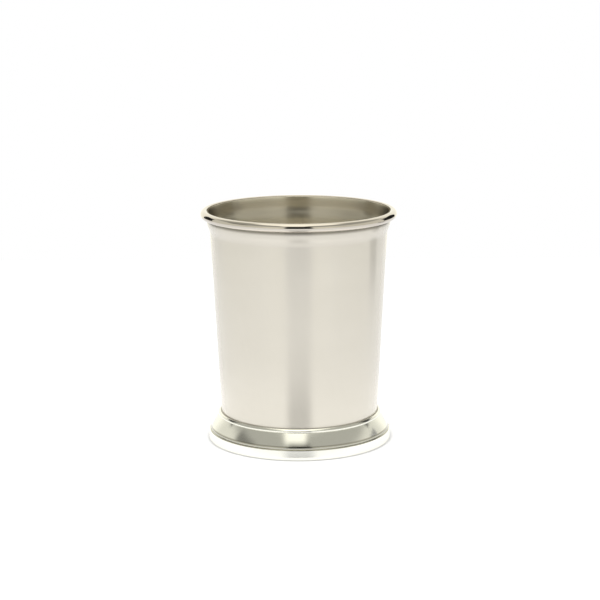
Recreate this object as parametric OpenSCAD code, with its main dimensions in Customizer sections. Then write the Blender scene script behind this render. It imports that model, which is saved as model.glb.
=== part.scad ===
// Julep cup: a tapered metal beaker with an applied round bead at the lip and a moulded, hollow foot.
// Every piece is turned about the Z axis. The origin is the centre of the sole, on the table.

/* [Body] */
// Height of the cup, from the sole to the top of the rim bead
cup_h = 106.3; // [95:0.1:125]
// Outside diameter over the rim bead
rim_d = 89; // [84:0.5:96]
// Outside diameter of the body where it leaves the foot
base_d = 71.9; // [66:0.1:76]
// Thickness of the body's sheet
wall = 0.8; // [0.6:0.05:1.1]
// Height of the body's underside above the table
floor_z = 4; // [3.8:0.1:6]
// Inside radius of the corner between the body's wall and its floor
corner_in = 3.2; // [2:0.1:5]

/* [Lip] */
// Height over which the wall flares out to its straight neck
flare_h = 6.6; // [5.5:0.1:9]
// How far the wall flares out over that height
flare_out = 1.5; // [1.2:0.05:1.9]
// Diameter of the rim bead's round section
bead_d = 3.8; // [3.2:0.1:4.4]
// Wall of the bead's tube
bead_wall = 0.5; // [0.3:0.05:0.6]
// How deep the bead's round section is cut where it lies against the neck
bead_cut = 1; // [0.8:0.05:1.3]
// How far the neck's edge stays below the top of the bead
lip_down = 0.4; // [0.3:0.05:0.6]
// Rounding of the neck's edge
lip_r = 0.2; // [0.1:0.05:0.3]
// Length of the straight neck below the bead
neck_h = 0.7; // [0.3:0.1:1.5]

/* [Foot] */
// Height of the foot moulding
foot_h = 13.1; // [12:0.1:15]
// How far the foot stands out from the body's wall
foot_out = 6.05; // [5.8:0.05:8]
// Thickness of the foot's sheet
foot_wall = 0.8; // [0.6:0.05:1]
// Thickness of the fine bead at the foot's top edge
astragal_d = 1.1; // [0.9:0.05:1.3]
// Length of the fine bead's flat, sloping face
astragal_l = 0.7; // [0.4:0.05:0.9]
// Height of the collar that lies against the body's wall
collar_h = 3; // [2:0.1:3.5]
// Height of the band at the bottom of the foot
band_h = 4.4; // [3.5:0.1:5]
// How far the band flares out towards the sole
band_flare = 0.5; // [0:0.05:0.7]
// Width of the ledge on top of the band, out from the cushion's widest line
band_out = 0.4; // [0.2:0.05:0.6]
// Radius of the cushion's rounded shoulder
shoulder_r = 1.4; // [1.1:0.1:1.8]
// Height of the upright step between the band's ledge and the shoulder
groove_h = 0.1; // [0.05:0.05:0.4]
// Radius of the outer edge of the sole
sole_r = 0.5; // [0.3:0.05:0.7]
// Width of the turned-in sole that rests on the table
sole_w = 3.4; // [2.8:0.1:4.5]

/* [Base plate] */
// Thickness of the base plate
plate_wall = 0.8; // [0.6:0.05:1]
// Height of the base plate's underside above the table
plate_z = 1; // [0.8:0.05:1.2]
// Height of the plate's turned-up rim and of the foot's hem round it, above the table
hem_h = 3; // [2.8:0.05:3.3]
// Inside radius of the plate's corner
plate_in = 0.2; // [0.1:0.05:0.4]

/* [Joints] */
// Gap left for solder where two pieces slide together
joint_gap = 0.06; // [0.04:0.01:0.12]
// Clearance between a solder seam and the rounded face that it lies on
seam_gap = 0.01; // [0.005:0.005:0.02]
// Leg of the solder fillet under the rim bead
fillet = 0.45; // [0.3:0.05:0.6]

/* [Hidden] */
$fn = 96;
arc_steps = 12; // straight stretches in each rounded stretch of an outline, at least
arc_turn = 7.5; // most degrees that one straight stretch of it may turn

// Turns, in degrees, and shares of the pieces that they shape
crown_turn = 4; // how far the cushion's slope bends before it meets the shoulder
under_turn = 35; // how far the shoulder turns under, towards the band
astragal_turn = 42; // way that the fine bead's flat face looks, up from straight out
crease_turn = -80; // where the cushion starts on the fine bead, from straight out
solder_turn = 110; // where the foot's solder ends on the fine bead, from straight out
hem_solder_turn = -50; // where the base's solder ends on the plate's corner
hem_solder_share = 0.2; // of the plate's corner radius, the height at which that solder starts on the hem

// Rim bead, neck and throat
bead_r = bead_d / 2;
bead_c = [rim_d / 2 - bead_r, cup_h - bead_r];
cut_x = bead_cut - bead_r;
neck_at = [bead_c[0] + cut_x - joint_gap, bead_c[1] - bead_r - neck_h];
neck_in = neck_at[0] - wall;
lip_z = cup_h - lip_down - lip_r;
throat = [neck_at[0] - flare_out, neck_at[1] - flare_h];

// Wall: a straight taper from the foot to the throat, then two arcs of one radius, out and back to the
// upright neck
base_at = [base_d / 2, foot_h];
taper = atan2(throat[0] - base_at[0], throat[1] - base_at[1]);
flare_lean = flare_out / flare_h;
flare_swing = acos((1 + cos(taper) + flare_lean * sin(taper)) / (2 * norm([1, flare_lean])));
flare_turn = atan(flare_lean) + flare_swing;
flare_r = flare_out / (1 + cos(taper) - 2 * cos(flare_turn));
flare_c = throat + flare_r * [cos(taper), -sin(taper)];
neck_c = neck_at - [flare_r, 0];
corner_r = corner_in + wall;
corner_z = floor_z + corner_r;
corner_x = base_at[0] + ((corner_z - base_at[1]) * sin(taper) - corner_r) / cos(taper);
corner_c = [corner_x, corner_z];

// Radius of the wall's outer face at a height on the taper
function wall_at(z) = base_at[0] + (z - base_at[1]) * tan(taper);

// Points along an arc about c, from angle a to angle b
function arc(c, r, a, b) =
    let (n = max(arc_steps, ceil(abs(b - a) / arc_turn)))
    [for (i = [0:n]) c + r * [cos(a + (b - a) * i / n), sin(a + (b - a) * i / n)]];

// Foot: fine bead, cushion, band and sole
foot_r = base_d / 2 + foot_out;
astragal_r = astragal_d / 2;
astragal_z = foot_h - astragal_r;
astragal_c = [wall_at(astragal_z) + (joint_gap + astragal_r) / cos(taper), astragal_z];
astragal_end = astragal_c + astragal_l * [sin(astragal_turn), -cos(astragal_turn)];
crease = astragal_end + astragal_r * [cos(crease_turn), sin(crease_turn)];
band_r = foot_r - band_flare;
shoulder_c = [band_r - band_out - shoulder_r, band_h + groove_h + shoulder_r * sin(under_turn)];
crease_from = crease - shoulder_c;
tangent_turn = atan2(crease_from[1], crease_from[0]) - acos(shoulder_r / norm(crease_from));
shoulder_turn = tangent_turn - crown_turn;
shoulder_way = [cos(shoulder_turn), sin(shoulder_turn)];
shoulder_top = shoulder_c + shoulder_r * shoulder_way;
slope = shoulder_top - crease;
crown_r = (slope * slope) / (2 * slope * shoulder_way);
crown_c = shoulder_top - crown_r * shoulder_way;
crown_turn_top = atan2(crease[1] - crown_c[1], crease[0] - crown_c[0]);
under_x = shoulder_c[0] + shoulder_r * cos(under_turn);
under_in = shoulder_c[0] + (shoulder_r - foot_wall) * cos(under_turn);
collar_z = astragal_z - collar_h;

// Where the inside of the cushion meets the collar's outer face
collar_face = [wall_at(collar_z) + (joint_gap + foot_wall) / cos(taper), collar_z];
collar_way = [sin(taper), cos(taper)];
collar_off = (collar_face - crown_c) * [cos(taper), -sin(taper)];
collar_up = sqrt(pow(crown_r - foot_wall, 2) - pow(collar_off, 2));
collar_meet = crown_c + collar_off * [cos(taper), -sin(taper)] + collar_up * collar_way;
collar_turn = atan2(collar_meet[1] - crown_c[1], collar_meet[0] - crown_c[0]);

// Sole, hem and base plate
hem_r = foot_r - sole_w;
plate_edge = hem_r - joint_gap;
plate_r = plate_in + plate_wall;
plate_c = [plate_edge - plate_r, plate_z + plate_r];

// Section of the body: floor, corner, taper, flare, neck and lip
module body_section() {
    polygon(concat(
        [[0, floor_z]],
        arc(corner_c, corner_r, -90, -taper),
        arc(flare_c, flare_r, 180 - taper, 180 - flare_turn),
        arc(neck_c, flare_r, -flare_turn, 0),
        arc([neck_at[0] - lip_r, lip_z], lip_r, 0, 90),
        arc([neck_in + lip_r, lip_z], lip_r, 90, 180),
        arc(neck_c, flare_r - wall, 0, -flare_turn),
        arc(flare_c, flare_r + wall, 180 - flare_turn, 180 - taper),
        arc(corner_c, corner_in, -taper, -90),
        [[0, floor_z + wall]]
    ));
}

// Turn, up or down from straight out, at which a circle of radius r about the bead's centre meets the cut
function cut_turn(r) = acos(cut_x / r);

// Half-open ring of tube wall; its cut lies against the neck, a joint gap clear of it
module bead_section() {
    bore_r = bead_r - bead_wall;
    polygon(concat(
        arc(bead_c, bead_r, -cut_turn(bead_r), cut_turn(bead_r)),
        arc(bead_c, bore_r, cut_turn(bore_r), -cut_turn(bore_r))
    ));
}

// Section of the foot: collar, fine bead, cushion, band, sole, the hem turned up inside it, and back inside
module foot_section() {
    polygon(concat(
        [[wall_at(collar_z) + joint_gap / cos(taper), collar_z]],
        arc(astragal_c, astragal_r, 180 - taper, astragal_turn),
        arc(astragal_end, astragal_r, astragal_turn, crease_turn),
        arc(crown_c, crown_r, crown_turn_top, shoulder_turn),
        arc(shoulder_c, shoulder_r, shoulder_turn, -under_turn),
        [[under_x, band_h], [band_r, band_h], [foot_r, sole_r]],
        arc([foot_r - sole_r, sole_r], sole_r, 0, -90),
        arc([hem_r + sole_r, sole_r], sole_r, -90, -180),
        [[hem_r, hem_h], [hem_r + foot_wall, hem_h]],
        [[hem_r + foot_wall, foot_wall], [foot_r - foot_wall, foot_wall]],
        [[band_r - foot_wall, band_h - foot_wall], [under_in, band_h - foot_wall]],
        arc(shoulder_c, shoulder_r - foot_wall, -under_turn, shoulder_turn),
        arc(crown_c, crown_r - foot_wall, shoulder_turn, collar_turn),
        [collar_face]
    ));
}

module plate_section() {
    polygon(concat(
        [[0, plate_z]],
        arc(plate_c, plate_r, -90, 0),
        [[plate_edge, hem_h], [plate_edge - plate_wall, hem_h]],
        arc(plate_c, plate_in, 0, -90),
        [[0, plate_z + plate_wall]]
    ));
}

// Drawn shell, open at the top
module cup_body() {
    color("#d6d1c3") rotate_extrude() body_section();
}

// Tube round the outside of the lip, cut open on the neck's side, polished
module rim_bead() {
    color("#e8e6e0") rotate_extrude() bead_section();
}

// Fillet under the bead, outside, between it and the neck
module rim_solder() {
    low_turn = -cut_turn(bead_r);
    end_turn = low_turn + fillet / bead_r * 180 / PI;
    low_z = bead_c[1] + bead_r * sin(low_turn);
    color("#b9b6ac") rotate_extrude() polygon(concat(
        [[neck_at[0], low_z], [neck_at[0], low_z - fillet]],
        arc(bead_c, bead_r + seam_gap, end_turn, low_turn)
    ));
}

// Pressed moulding, hollow underneath
module foot_ring() {
    color("#dfe0d8") rotate_extrude() foot_section();
}

// Seam in the groove between the wall and the foot's fine bead
module foot_solder() {
    end_z = astragal_z + astragal_r * sin(solder_turn);
    color("#b9b6ac") rotate_extrude() polygon(concat(
        [[wall_at(astragal_z), astragal_z]],
        arc(astragal_c, astragal_r + seam_gap, 180 - taper, solder_turn),
        [[wall_at(end_z), end_z]]
    ));
}

// Shallow pan pushed into the hem, closing the foot from below
module base_plate() {
    color("#c9c7bd") rotate_extrude() plate_section();
}

// Seam between the plate's corner and the hem, on the underside
module base_solder() {
    color("#b9b6ac") rotate_extrude() difference() {
        polygon([
            [hem_r, plate_c[1]],
            plate_c,
            plate_c + plate_r * [cos(hem_solder_turn), sin(hem_solder_turn)],
            [hem_r, plate_z + hem_solder_share * plate_r]
        ]);
        plate_section();
        translate(plate_c) circle(r = plate_in + plate_wall / 2);
    }
}

cup_body();
rim_bead();
rim_solder();
foot_ring();
foot_solder();
base_plate();
base_solder();
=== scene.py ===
from math import acos, atan, atan2, cos, degrees, hypot, pi, radians, sin, sqrt, tan

import bmesh
import bpy
from mathutils import Matrix, Vector


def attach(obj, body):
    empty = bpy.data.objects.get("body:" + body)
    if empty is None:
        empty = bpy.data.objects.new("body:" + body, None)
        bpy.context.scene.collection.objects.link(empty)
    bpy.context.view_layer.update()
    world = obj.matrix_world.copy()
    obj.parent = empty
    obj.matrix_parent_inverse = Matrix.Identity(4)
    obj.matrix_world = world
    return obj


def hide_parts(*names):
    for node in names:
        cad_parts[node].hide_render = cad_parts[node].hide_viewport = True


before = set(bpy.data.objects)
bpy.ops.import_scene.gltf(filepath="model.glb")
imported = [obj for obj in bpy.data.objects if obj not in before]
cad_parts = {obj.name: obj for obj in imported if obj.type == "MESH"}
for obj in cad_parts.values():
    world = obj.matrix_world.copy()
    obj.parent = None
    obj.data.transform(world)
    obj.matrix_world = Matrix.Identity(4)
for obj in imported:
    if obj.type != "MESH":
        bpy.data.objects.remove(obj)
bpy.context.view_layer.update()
print("frame loaded")

mm = 0.001


# Drawing an outline in the XZ plane, in millimetres: a point runs along lines and arcs
def startOutline(x, z):
    bm = bmesh.new()
    return bm, bm.verts.new((x, 0, z))


def lineTo(bm, point, x, z, steps=1):
    start = point.co.copy()
    for step in range(steps):
        made = bmesh.ops.extrude_vert_indiv(bm, verts=[point])
        point = made["verts"][0]
        target = start.lerp(Vector((x, 0, z)), (step + 1) / steps)
        bmesh.ops.translate(bm, verts=[point], vec=target - point.co)
    return point


def arcTo(bm, point, centre, turn, steps):  # turn in degrees, anticlockwise when looking along +Y
    made = bmesh.ops.spin(bm, geom=[point], cent=(centre[0], 0, centre[1]), axis=(0, -1, 0),
                          angle=radians(turn), steps=steps, use_duplicate=False)
    return [item for item in made["geom_last"] if isinstance(item, bmesh.types.BMVert)][0]


def polar(centre, r, turn):
    return (centre[0] + r * cos(radians(turn)), centre[1] + r * sin(radians(turn)))


# Turning an outline round the cup's axis into a piece in metres; the weld is still in millimetres
turning = {"steps": 256, "weld": 0.0005, "sharpAngle": 28}


def turnOutline(bm, name):
    bmesh.ops.spin(bm, geom=bm.verts[:] + bm.edges[:], cent=(0, 0, 0), axis=(0, 0, 1),
                   angle=2 * pi, steps=turning["steps"], use_merge=True)
    bmesh.ops.remove_doubles(bm, verts=bm.verts[:], dist=turning["weld"])
    bmesh.ops.recalc_face_normals(bm, faces=bm.faces[:])
    bmesh.ops.scale(bm, verts=bm.verts[:], vec=(mm, mm, mm))
    for face in bm.faces:
        face.smooth = True
    for edge in bm.edges:
        edge.smooth = edge.calc_face_angle(0) < radians(turning["sharpAngle"])
    mesh = bpy.data.meshes.new(name)
    bm.to_mesh(mesh)
    bm.free()
    piece = bpy.data.objects.new(name, mesh)
    bpy.context.scene.collection.objects.link(piece)
    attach(piece, "root")
    return piece


# The bead's sizes come first, because the body's neck stands against it
beadSize = {"tubeD": 3.8, "wall": 0.5, "cut": 1, "outSteps": 48, "boreSteps": 24}

# Body: drawn shell with a straight taper, a flare and an upright neck
bodySize = {
    "height": 106.3, "rimD": 89, "baseD": 71.9, "wall": 0.8, "floorZ": 4, "cornerIn": 3.2,
    "flareH": 6.6, "flareOut": 1.5, "neckH": 0.7, "lipDown": 0.4, "lipR": 0.2, "footH": 13.1, "gap": 0.06,
    "floorSteps": 8, "cornerSteps": 12, "wallSteps": 24, "flareSteps": 12, "neckSteps": 2, "lipSteps": 4,
    "facesUp": 0.9,  # the upward share of its normal from which a face counts as the floor inside
}


def bodyLines(s, bead):
    beadR = bead["tubeD"] / 2
    beadC = (s["rimD"] / 2 - beadR, s["height"] - beadR)
    cutX = bead["cut"] - beadR
    neck = (beadC[0] + cutX - s["gap"], beadC[1] - beadR - s["neckH"])
    throat = (neck[0] - s["flareOut"], neck[1] - s["flareH"])
    taper = atan2(throat[0] - s["baseD"] / 2, throat[1] - s["footH"])
    lean = s["flareOut"] / s["flareH"]
    flare = atan(lean) + acos((1 + cos(taper) + lean * sin(taper)) / (2 * hypot(1, lean)))
    flareR = s["flareOut"] / (1 + cos(taper) - 2 * cos(flare))
    cornerR = s["cornerIn"] + s["wall"]
    cornerZ = s["floorZ"] + cornerR
    cornerX = s["baseD"] / 2 + ((cornerZ - s["footH"]) * sin(taper) - cornerR) / cos(taper)
    return {
        "beadR": beadR, "beadC": beadC, "cutX": cutX, "neck": neck, "neckIn": neck[0] - s["wall"],
        "lipZ": s["height"] - s["lipDown"] - s["lipR"],
        "throat": throat, "taper": taper, "flare": flare, "corner": (cornerX, cornerZ),
        "flareC": (throat[0] + flareR * cos(taper), throat[1] - flareR * sin(taper)),
        "neckC": (neck[0] - flareR, neck[1]),
    }


body = bodyLines(bodySize, beadSize)


def wallAt(z):
    return bodySize["baseD"] / 2 + (z - bodySize["footH"]) * tan(body["taper"])


def makeBody(s, b):
    taper, flare = degrees(b["taper"]), degrees(b["flare"])
    bm, point = startOutline(0, s["floorZ"])
    point = lineTo(bm, point, b["corner"][0], s["floorZ"], s["floorSteps"])
    point = arcTo(bm, point, b["corner"], 90 - taper, s["cornerSteps"])
    point = lineTo(bm, point, *b["throat"], s["wallSteps"])
    point = arcTo(bm, point, b["flareC"], taper - flare, s["flareSteps"])
    point = arcTo(bm, point, b["neckC"], flare, s["flareSteps"])
    point = lineTo(bm, point, b["neck"][0], b["lipZ"], s["neckSteps"])
    point = arcTo(bm, point, (b["neck"][0] - s["lipR"], b["lipZ"]), 90, s["lipSteps"])
    point = lineTo(bm, point, b["neckIn"] + s["lipR"], b["lipZ"] + s["lipR"])
    point = arcTo(bm, point, (b["neckIn"] + s["lipR"], b["lipZ"]), 90, s["lipSteps"])
    point = lineTo(bm, point, b["neckIn"], b["neck"][1], s["neckSteps"])
    point = arcTo(bm, point, b["neckC"], -flare, s["flareSteps"])
    point = arcTo(bm, point, b["flareC"], flare - taper, s["flareSteps"])
    inner = polar(b["corner"], s["cornerIn"], -taper)
    point = lineTo(bm, point, *inner, s["wallSteps"])
    point = arcTo(bm, point, b["corner"], taper - 90, s["cornerSteps"])
    lineTo(bm, point, 0, s["floorZ"] + s["wall"], s["floorSteps"])
    piece = turnOutline(bm, "satinBody")
    for face in piece.data.polygons:  # the inside has its own finish: its wall faces the axis, its floor up
        out = Vector((face.center.x, face.center.y, 0))
        face.material_index = 1 if face.normal.dot(out) < 0 or face.normal.z > s["facesUp"] else 0
    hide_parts("cup_body")
    return piece


satinBody = makeBody(bodySize, body)
print("body made")


# Rim bead: tube round the outside of the lip, cut open on the neck's side
def makeBead(s, b):
    boreR = b["beadR"] - s["wall"]
    cut, boreCut = degrees(acos(b["cutX"] / b["beadR"])), degrees(acos(b["cutX"] / boreR))
    start, across = polar(b["beadC"], b["beadR"], -cut), polar(b["beadC"], boreR, boreCut)
    bm, first = startOutline(*start)
    point = arcTo(bm, first, b["beadC"], 2 * cut, s["outSteps"])
    point = lineTo(bm, point, *across)
    point = arcTo(bm, point, b["beadC"], -2 * boreCut, s["boreSteps"])
    bm.edges.new((point, first))
    piece = turnOutline(bm, "rimBead")
    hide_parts("rim_bead")
    return piece


rimBead = makeBead(beadSize, body)
print("bead made")


# Foot: collar, fine bead, cushion, band, sole and hem, with its turns in degrees
footSize = {
    "out": 6.05, "wall": 0.8, "fineD": 1.1, "fineL": 0.7, "collarH": 3, "bandH": 4.4, "bandFlare": 0.5,
    "bandOut": 0.4, "shoulderR": 1.4, "grooveH": 0.1, "soleR": 0.5, "soleW": 3.4, "hemH": 3,
    "crownTurn": 4, "underTurn": 35, "fineTurn": 42, "creaseTurn": -80,
    "arcSteps": 16, "crownInSteps": 12, "soleSteps": 8, "sideSteps": 3, "flatSteps": 2,
}


def footLines(s, taper):
    footR = bodySize["baseD"] / 2 + s["out"]
    bandR = footR - s["bandFlare"]
    fineR = s["fineD"] / 2
    fineZ = bodySize["footH"] - fineR
    fine = (wallAt(fineZ) + (bodySize["gap"] + fineR) / cos(taper), fineZ)
    fineEnd = polar(fine, s["fineL"], s["fineTurn"] - 90)
    crease = polar(fineEnd, fineR, s["creaseTurn"])
    shoulderZ = s["bandH"] + s["grooveH"] + s["shoulderR"] * sin(radians(s["underTurn"]))
    shoulder = (bandR - s["bandOut"] - s["shoulderR"], shoulderZ)
    reach = (crease[0] - shoulder[0], crease[1] - shoulder[1])
    tangent = degrees(atan2(reach[1], reach[0]) - acos(s["shoulderR"] / hypot(*reach)))
    shoulderTurn = tangent - s["crownTurn"]
    top = polar(shoulder, s["shoulderR"], shoulderTurn)
    slope = (top[0] - crease[0], top[1] - crease[1])
    along = slope[0] * cos(radians(shoulderTurn)) + slope[1] * sin(radians(shoulderTurn))
    crownR = (slope[0] ** 2 + slope[1] ** 2) / (2 * along)
    crown = polar(top, -crownR, shoulderTurn)
    return {
        "footR": footR, "bandR": bandR, "fine": fine, "fineR": fineR, "shoulder": shoulder, "crown": crown,
        "shoulderTurn": shoulderTurn, "crownR": crownR, "hemR": footR - s["soleW"],
        "crownTop": degrees(atan2(crease[1] - crown[1], crease[0] - crown[0])), "fineEnd": fineEnd,
    }


def collarLines(s, f, taper):
    low = f["fine"][1] - s["collarH"]
    face = wallAt(low) + (bodySize["gap"] + s["wall"]) / cos(taper)
    off = (face - f["crown"][0]) * cos(taper) - (low - f["crown"][1]) * sin(taper)
    up = sqrt((f["crownR"] - s["wall"]) ** 2 - off ** 2)
    meet = (off * cos(taper) + up * sin(taper), up * cos(taper) - off * sin(taper))
    return low, face, degrees(atan2(meet[1], meet[0]))


def makeFoot(s, taper):
    f = footLines(s, taper)
    wall, footR, hemR, soleR = s["wall"], f["footR"], f["hemR"], s["soleR"]
    collarLow, collarFace, meetTurn = collarLines(s, f, taper)
    under = cos(radians(s["underTurn"]))
    bm, first = startOutline(wallAt(collarLow) + bodySize["gap"] / cos(taper), collarLow)
    start = polar(f["fine"], f["fineR"], 180 - degrees(taper))
    point = lineTo(bm, first, *start, s["sideSteps"])
    point = arcTo(bm, point, f["fine"], s["fineTurn"] - 180 + degrees(taper), s["arcSteps"])
    flat = polar(f["fineEnd"], f["fineR"], s["fineTurn"])
    point = lineTo(bm, point, *flat, s["flatSteps"])
    point = arcTo(bm, point, f["fineEnd"], s["creaseTurn"] - s["fineTurn"], s["arcSteps"])
    point = arcTo(bm, point, f["crown"], f["shoulderTurn"] - f["crownTop"], s["arcSteps"])
    point = arcTo(bm, point, f["shoulder"], -s["underTurn"] - f["shoulderTurn"], s["arcSteps"])
    point = lineTo(bm, point, f["shoulder"][0] + s["shoulderR"] * under, s["bandH"])
    point = lineTo(bm, point, f["bandR"], s["bandH"])
    point = lineTo(bm, point, footR, soleR, s["sideSteps"])
    point = arcTo(bm, point, (footR - soleR, soleR), -90, s["soleSteps"])
    point = lineTo(bm, point, hemR + soleR, 0, s["flatSteps"])
    point = arcTo(bm, point, (hemR + soleR, soleR), -90, s["soleSteps"])
    point = lineTo(bm, point, hemR, s["hemH"])
    point = lineTo(bm, point, hemR + wall, s["hemH"])
    point = lineTo(bm, point, hemR + wall, wall)
    point = lineTo(bm, point, footR - wall, wall)
    point = lineTo(bm, point, f["bandR"] - wall, s["bandH"] - wall)
    shoulderIn = s["shoulderR"] - wall
    point = lineTo(bm, point, f["shoulder"][0] + shoulderIn * under, s["bandH"] - wall)
    inner = polar(f["shoulder"], shoulderIn, -s["underTurn"])
    point = lineTo(bm, point, *inner)
    point = arcTo(bm, point, f["shoulder"], f["shoulderTurn"] + s["underTurn"], s["arcSteps"])
    point = arcTo(bm, point, f["crown"], meetTurn - f["shoulderTurn"], s["crownInSteps"])
    point = lineTo(bm, point, collarFace, collarLow)
    bm.edges.new((point, first))
    piece = turnOutline(bm, "footRing")
    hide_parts("foot_ring")
    return piece


footRing = makeFoot(footSize, body["taper"])
print("foot made")


# Nodes: what is plugged into a socket is a value or what comes out of another node
def plug(tree, node, socket, item):
    if isinstance(item, bpy.types.NodeSocket):
        tree.links.new(item, node.inputs[socket])
    else:
        node.inputs[socket].default_value = item


def coordinate(tree, kind):
    return tree.nodes.new("ShaderNodeTexCoord").outputs[kind]


def split(tree, vector):
    node = tree.nodes.new("ShaderNodeSeparateXYZ")
    plug(tree, node, "Vector", vector)
    return node.outputs


def value(tree, operation, *items):
    node = tree.nodes.new("ShaderNodeMath")
    node.operation = operation
    for socket, item in enumerate(items):
        plug(tree, node, socket, item)
    return node.outputs["Value"]


def times(tree, first, second):
    return value(tree, "MULTIPLY", first, second)


def rise(tree, item, edge, soft, low=0, high=1):  # low below the edge, high above it
    node = tree.nodes.new("ShaderNodeMapRange")
    node.interpolation_type = "SMOOTHSTEP"
    plug(tree, node, "Value", item)
    plug(tree, node, "From Min", edge - soft)
    plug(tree, node, "From Max", edge + soft)
    plug(tree, node, "To Min", low)
    plug(tree, node, "To Max", high)
    return node.outputs["Result"]


def fall(tree, item, edge, soft):
    return rise(tree, item, edge, soft, 1, 0)


def inside(tree, item, low, high, soft):
    return times(tree, rise(tree, item, low, soft), fall(tree, item, high, soft))


def azimuth(tree, x, y):  # degrees from the front, to the right
    turn = value(tree, "ARCTAN2", x, times(tree, y, -1))
    return times(tree, turn, 180 / pi)


def blend(tree, kind, mask, first, second):  # first where the mask is 0, second where it is 1
    node = tree.nodes.new("ShaderNodeMix")
    node.data_type = kind
    plug(tree, node, "Factor", mask)
    plug(tree, node, "A", first)
    plug(tree, node, "B", second)
    return node.outputs["Result"]


def setSurface(tree, kind, surface):
    output = tree.nodes.new(kind)
    plug(tree, output, "Surface", surface)


def newMaterial(name):
    material = bpy.data.materials.new(name)
    material.use_nodes = True
    material.node_tree.nodes.clear()
    return material, material.node_tree


# Metals, in metres: fine brushing round the axis, broader rings and in some a painted shade, darker at one
# height
metalGrain = {"brushRound": 12, "brushDetail": 3, "ringDetail": 2, "acrossBrush": 0.25}  # the last in turns


def ringNoise(tree, place, round, along, detail):  # waves to a metre, across the axis and along it
    stretch = tree.nodes.new("ShaderNodeMapping")
    plug(tree, stretch, "Vector", place)
    plug(tree, stretch, "Scale", (round, round, along))
    noise = tree.nodes.new("ShaderNodeTexNoise")
    plug(tree, noise, "Vector", stretch.outputs["Vector"])
    plug(tree, noise, "Scale", 1)
    plug(tree, noise, "Detail", detail)
    return noise.outputs["Fac"]


def metalMaterial(name, look):
    material, tree = newMaterial(name)
    shader = tree.nodes.new("ShaderNodeBsdfPrincipled")
    plug(tree, shader, "Metallic", look["metallic"])
    plug(tree, shader, "Specular Tint", (*look.get("edgeTint", (1, 1, 1)), 1))
    plug(tree, shader, "Anisotropic", look["anisotropic"])
    plug(tree, shader, "Anisotropic Rotation", metalGrain["acrossBrush"])
    tangent = tree.nodes.new("ShaderNodeTangent")
    tangent.direction_type, tangent.axis = "RADIAL", "Z"
    plug(tree, shader, "Tangent", tangent.outputs["Tangent"])

    place = coordinate(tree, "Object")
    fine = ringNoise(tree, place, metalGrain["brushRound"], look["brush"], metalGrain["brushDetail"])
    broad = ringNoise(tree, place, look["round"], look["rings"], metalGrain["ringDetail"])
    colour = blend(tree, "RGBA", broad, (*look["dark"], 1), (*look["light"], 1))
    if "paintedShade" in look:  # painted shade: in a crease, beside a seam or round the flare's inside
        shadeMask = inside(tree, split(tree, place)["Z"], *look["paintedShadeZ"], look["paintedShadeSoft"])
        colour = blend(tree, "RGBA", shadeMask, colour, (*look["paintedShade"], 1))
    plug(tree, shader, "Base Color", colour)

    rough = tree.nodes.new("ShaderNodeMapRange")
    plug(tree, rough, "Value", fine)
    plug(tree, rough, "To Min", look["roughMin"])
    plug(tree, rough, "To Max", look["roughMax"])
    plug(tree, shader, "Roughness", rough.outputs["Result"])
    bump = tree.nodes.new("ShaderNodeBump")
    plug(tree, bump, "Height", fine)
    plug(tree, bump, "Strength", look["bump"])
    plug(tree, bump, "Distance", look["depth"])
    plug(tree, shader, "Normal", bump.outputs["Normal"])
    setSurface(tree, "ShaderNodeOutputMaterial", shader.outputs["BSDF"])
    return material


# The satin steel is darker on the neck under the bead: painted shade in the crease there.
satin = metalMaterial("satin steel", {
    "metallic": 0.65, "anisotropic": 0.85, "brush": 2600, "round": 25, "rings": 60,
    "dark": (0.69, 0.655, 0.575), "light": (0.745, 0.71, 0.63),
    "roughMin": 0.21, "roughMax": 0.28, "bump": 0.05, "depth": 0.00002,
    "paintedShade": (0.27, 0.25, 0.21), "paintedShadeZ": (0.1012, 0.11), "paintedShadeSoft": 0.0008,
})
# The turned steel is darker round the inside of the flare: painted shade.
turned = metalMaterial("turned steel", {
    "metallic": 1, "anisotropic": 0.85, "brush": 2600, "round": 1, "rings": 800,
    "dark": (0.69, 0.64, 0.53), "light": (0.93, 0.88, 0.76), "edgeTint": (0.1, 0.09, 0.07),
    "roughMin": 0.28, "roughMax": 0.36, "bump": 0.1, "depth": 0.00002,
    "paintedShade": (0.57, 0.53, 0.44), "paintedShadeZ": (0.0958, 0.1008), "paintedShadeSoft": 0.0012,
})
bright = metalMaterial("polished steel", {
    "metallic": 1, "anisotropic": 0.3, "brush": 1800, "round": 25, "rings": 60,
    "dark": (0.595, 0.55, 0.485), "light": (0.64, 0.595, 0.53),
    "roughMin": 0.05, "roughMax": 0.1, "bump": 0.04, "depth": 0.00001,
})
# The polished nickel is darker in the groove under the cushion's shoulder: painted shade.
cast = metalMaterial("polished nickel", {
    "metallic": 1, "anisotropic": 0.2, "brush": 1500, "round": 25, "rings": 60,
    "dark": (0.84, 0.835, 0.77), "light": (0.89, 0.885, 0.825),
    "roughMin": 0.13, "roughMax": 0.18, "bump": 0.05, "depth": 0.00001,
    "paintedShade": (0.44, 0.43, 0.37), "paintedShadeZ": (0.0045, 0.0062), "paintedShadeSoft": 0.0003,
})
plain = metalMaterial("turned plate", {
    "metallic": 1, "anisotropic": 0.6, "brush": 900, "round": 25, "rings": 60,
    "dark": (0.66, 0.62, 0.54), "light": (0.73, 0.69, 0.61),
    "roughMin": 0.25, "roughMax": 0.4, "bump": 0.1, "depth": 0.00002,
})
seam = metalMaterial("solder", {
    "metallic": 1, "anisotropic": 0, "brush": 700, "round": 25, "rings": 60,
    "dark": (0.33, 0.31, 0.27), "light": (0.45, 0.43, 0.38),
    "roughMin": 0.35, "roughMax": 0.5, "bump": 0.2, "depth": 0.00003,
})
satinBody.data.materials.append(satin)
satinBody.data.materials.append(turned)
rimBead.data.materials.append(bright)
footRing.data.materials.append(cast)


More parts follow.
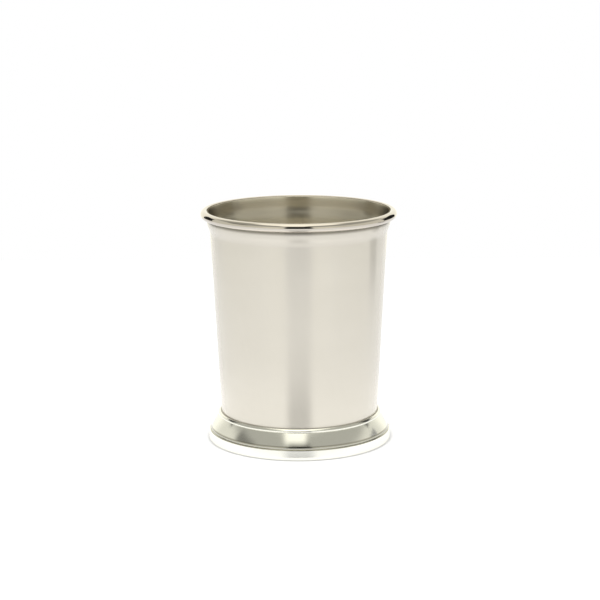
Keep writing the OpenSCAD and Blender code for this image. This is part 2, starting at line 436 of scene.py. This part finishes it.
def dress(node, material):
    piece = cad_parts[node]
    piece.data.materials.clear()
    piece.data.materials.append(material)


dress("base_plate", plain)
for node in ("rim_solder", "foot_solder", "base_solder"):
    dress(node, seam)
print("materials made")


# Stage: floor, cards, room and lamp
def paper(tree, level):
    node = tree.nodes.new("ShaderNodeBsdfDiffuse")
    plug(tree, node, "Color", (level, level, level, 1))
    return node.outputs["BSDF"]


def addStage(name, mesh, material):
    piece = bpy.data.objects.new(name, mesh)
    bpy.context.scene.collection.objects.link(piece)
    mesh.materials.append(material)
    return piece


# Floor, in metres: glowing paper, in which the metal sees a painted light brighter near the cup and a painted
# shadow, a dark wedge in front
floorLook = {
    "size": 0.45, "level": 0.85, "glow": 0.27, "contact": 0.0428, "contactSoft": 0.0012,
    "near": 0.38, "far": 0.1, "edge": 0.115, "soft": 0.03,
    "wedge": 13, "wedgeSoft": 6, "wedgeDepth": 0.95,
    "wedgeFrom": 0.06, "wedgeFromSoft": 0.012, "wedgeTo": 0.11, "wedgeToSoft": 0.05,
}


def floorMaterial(look):
    material, tree = newMaterial("white sweep")
    place = coordinate(tree, "Object")
    x, y = split(tree, place)[:2]
    length = tree.nodes.new("ShaderNodeVectorMath")
    length.operation = "LENGTH"
    plug(tree, length, 0, place)
    r = length.outputs["Value"]

    # A dark wedge in front which only the metal sees: painted shadow.
    wedge = fall(tree, value(tree, "ABSOLUTE", azimuth(tree, x, y)), look["wedge"], look["wedgeSoft"])
    wedge = times(tree, wedge, rise(tree, r, look["wedgeFrom"], look["wedgeFromSoft"]))
    wedge = times(tree, wedge, fall(tree, r, look["wedgeTo"], look["wedgeToSoft"]))
    # Brighter near the cup and dimmer further out, seen only by the metal: painted light.
    mirrored = rise(tree, r, look["edge"], look["soft"], look["near"], look["far"])
    mirrored = value(tree, "SUBTRACT", mirrored, times(tree, wedge, look["wedgeDepth"]))

    rays = tree.nodes.new("ShaderNodeLightPath")
    strength = value(tree, "ADD", times(tree, rays.outputs["Is Camera Ray"], look["glow"]),
                     times(tree, rays.outputs["Is Glossy Ray"], mirrored))
    clear = rise(tree, r, look["contact"], look["contactSoft"])  # the glow fades out under the foot and just round it, which darkens the real contact shadow there: a painted contact shadow
    glow = tree.nodes.new("ShaderNodeEmission")
    plug(tree, glow, "Strength", times(tree, strength, clear))
    both = tree.nodes.new("ShaderNodeAddShader")
    plug(tree, both, 0, paper(tree, look["level"]))
    plug(tree, both, 1, glow.outputs["Emission"])
    setSurface(tree, "ShaderNodeOutputMaterial", both.outputs["Shader"])
    return material


def makeFloor(look):
    bm = bmesh.new()
    bmesh.ops.create_grid(bm, x_segments=1, y_segments=1, size=look["size"])
    mesh = bpy.data.meshes.new("floor")
    bm.to_mesh(mesh)
    bm.free()
    addStage("floor", mesh, floorMaterial(look))


makeFloor(floorLook)


# Cards: upright screens that only the metal sees, in millimetres, with both ends as seen from above
def cardMaterial(name, level):
    material, tree = newMaterial(name)
    setSurface(tree, "ShaderNodeOutputMaterial", paper(tree, level))
    return material


black = cardMaterial("black card", 0.02)
grey = cardMaterial("grey card", 0.35)
white = cardMaterial("white card", 0.9)
screens = {
    "left screen": {"start": (-170, 52), "end": (-128, 104), "low": 84, "high": 165, "card": black},
    "right screen": {"start": (172, 45), "end": (115, 115), "low": 84, "high": 165, "card": black},
    "low screen": {"start": (174, 19), "end": (160, 60), "low": 45, "high": 66, "card": grey},
    "front screen": {"start": (-130, -400), "end": (130, -400), "low": 0, "high": 50, "card": white},
}


def makeScreen(name, start, end, low, high, card):
    mesh = bpy.data.meshes.new(name)
    corners = [(*start, low), (*end, low), (*end, high), (*start, high)]
    mesh.from_pydata([Vector(corner) * mm for corner in corners], [], [(0, 1, 2, 3)])
    screen = addStage(name, mesh, card)
    screen.visible_camera = False
    screen.visible_diffuse = False
    screen.visible_shadow = False


for name, screen in screens.items():
    makeScreen(name, **screen)


# Room: each patch lies over those before it, between two limits with a softness. Side is in degrees from the
# front to the right, aside the same to either side, height in degrees up, and x the share of a direction that
# points right. An upper limit out of reach leaves that side open.
roomLook = {
    "light": 0.8, "seen": 1,  # what falls on the paper, and what the camera sees
    "walls": 0.82, "tint": (1, 0.985, 0.88),  # what the metal sees, with the patches
    "patches": [
        {"level": 0.97, "aside": (17, 44, 8)},  # lighter beside the front
        {"level": 0.46, "height": (30, 100, 5)},  # upper walls
        {"level": 0.2, "side": (-98, -66, 4), "height": (25, 37, 4)},  # dark patch at the left
        {"level": 1.2, "aside": (138, 200, 12)},  # back wall
        {"level": 1.3, "x": (-0.27, 0.12, 0.05), "height": (48, 100, 4)},  # light overhead
        {"level": 1.6, "height": (64, 100, 5)},  # ceiling
        {"level": 0.04, "side": (-16, 16, 2.5), "height": (-26, 48, 4)},  # dark stripe in front
    ],
}


def background(tree, level, colour=(1, 1, 1)):
    node = tree.nodes.new("ShaderNodeBackground")
    plug(tree, node, "Color", (*colour, 1))
    plug(tree, node, "Strength", level)
    return node.outputs["Background"]


def choose(tree, mask, first, second):
    node = tree.nodes.new("ShaderNodeMixShader")
    plug(tree, node, "Fac", mask)
    plug(tree, node, 1, first)
    plug(tree, node, 2, second)
    return node.outputs["Shader"]


def makeWorld(look):
    world = bpy.data.worlds.new("studio")
    bpy.context.scene.world = world
    world.use_nodes = True
    tree = world.node_tree
    tree.nodes.clear()
    x, y, z = split(tree, coordinate(tree, "Generated"))
    side = azimuth(tree, x, y)
    measures = {
        "x": x, "side": side, "aside": value(tree, "ABSOLUTE", side),
        "height": times(tree, value(tree, "ARCSINE", z), 180 / pi),
    }
    room = look["walls"]
    for patch in look["patches"]:
        mask = 1
        for measure, item in measures.items():
            if measure in patch:
                mask = times(tree, mask, inside(tree, item, *patch[measure]))
        room = blend(tree, "FLOAT", mask, room, patch["level"])

    rays = tree.nodes.new("ShaderNodeLightPath")
    light, mirrored = background(tree, look["light"]), background(tree, room, look["tint"])
    unseen = choose(tree, rays.outputs["Is Glossy Ray"], light, mirrored)
    seen = choose(tree, rays.outputs["Is Camera Ray"], unseen, background(tree, look["seen"]))
    setSurface(tree, "ShaderNodeOutputWorld", seen)


makeWorld(roomLook)


# Lamp, in metres: a large soft light above the cup, not mirrored in it
softbox = {"place": (-0.05, -0.3, 1.1), "target": (0, 0, 0.05), "size": 0.8, "power": 6}


def makeLamp(name, look):
    data = bpy.data.lights.new(name, "AREA")
    data.shape, data.energy = "RECTANGLE", look["power"]
    data.size = data.size_y = look["size"]
    lamp = bpy.data.objects.new(name, data)
    lamp.location = look["place"]
    towards = Vector(look["target"]) - Vector(look["place"])
    lamp.rotation_euler = towards.to_track_quat("-Z", "Y").to_euler()
    bpy.context.scene.collection.objects.link(lamp)
    lamp.visible_glossy = False


makeLamp("softbox", softbox)
print("stage made")


# Camera, as in the photograph: place, lens and sensor in millimetres, pitch down and roll in degrees
cameraLook = {"place": (0.453, -805.5, 231.1), "pitch": 11.714, "roll": -0.25, "lens": 107.82, "sensor": 36}


def makeCamera(look):
    data = bpy.data.cameras.new("camera")
    data.lens, data.sensor_width = look["lens"], look["sensor"]
    camera = bpy.data.objects.new("camera", data)
    pitch = Matrix.Rotation(radians(90 - look["pitch"]), 4, "X")
    roll = Matrix.Rotation(radians(look["roll"]), 4, "Z")
    camera.matrix_world = Matrix.Translation(Vector(look["place"]) * mm) @ pitch @ roll
    bpy.context.scene.collection.objects.link(camera)
    bpy.context.scene.camera = camera


makeCamera(cameraLook)

scene = bpy.context.scene
scene.view_settings.view_transform = "Standard"
